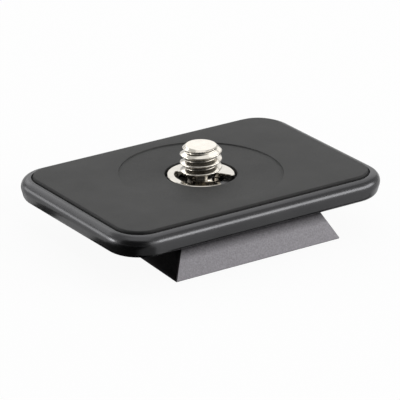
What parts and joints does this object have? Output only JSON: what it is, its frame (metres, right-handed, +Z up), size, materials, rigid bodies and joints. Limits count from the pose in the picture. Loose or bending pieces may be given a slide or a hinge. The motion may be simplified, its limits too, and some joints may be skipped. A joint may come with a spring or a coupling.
{
  "type": "tripod quick release plate",
  "caption": "Flat rectangular plate with a rubber pad and a captive threaded stud on top and a wedge foot below, for locking a camera onto a tripod head.",
  "frame": {"origin": "middle of the foot's flat underside, on the axis of the camera screw", "axes": "+X along the plate's long side, +Y along its short side, +Z up out of the pad towards the camera"},
  "size_m": [0.047, 0.0326, 0.0131],
  "materials": {
    "body": "satin black anodised",
    "pad": "fine matte",
    "nickel": "bright nickel plated steel"
  },
  "bodies": {
    "plate": {"plate_body": "body", "grip_pad": "pad"},
    "clip": {"retaining_clip": "nickel"},
    "screw": {"camera_screw": "nickel"}
  },
  "joints": [
    {"name": "screw_float", "type": "slide", "parent": "plate", "child": "clip", "axis": [0, 0, 1], "range_m": [0, 0.00025]},
    {"name": "screw_turn", "type": "hinge", "parent": "clip", "child": "screw", "pos_m": [0, 0, 0.008], "axis": [0, 0, 1], "continuous": true}
  ]
}
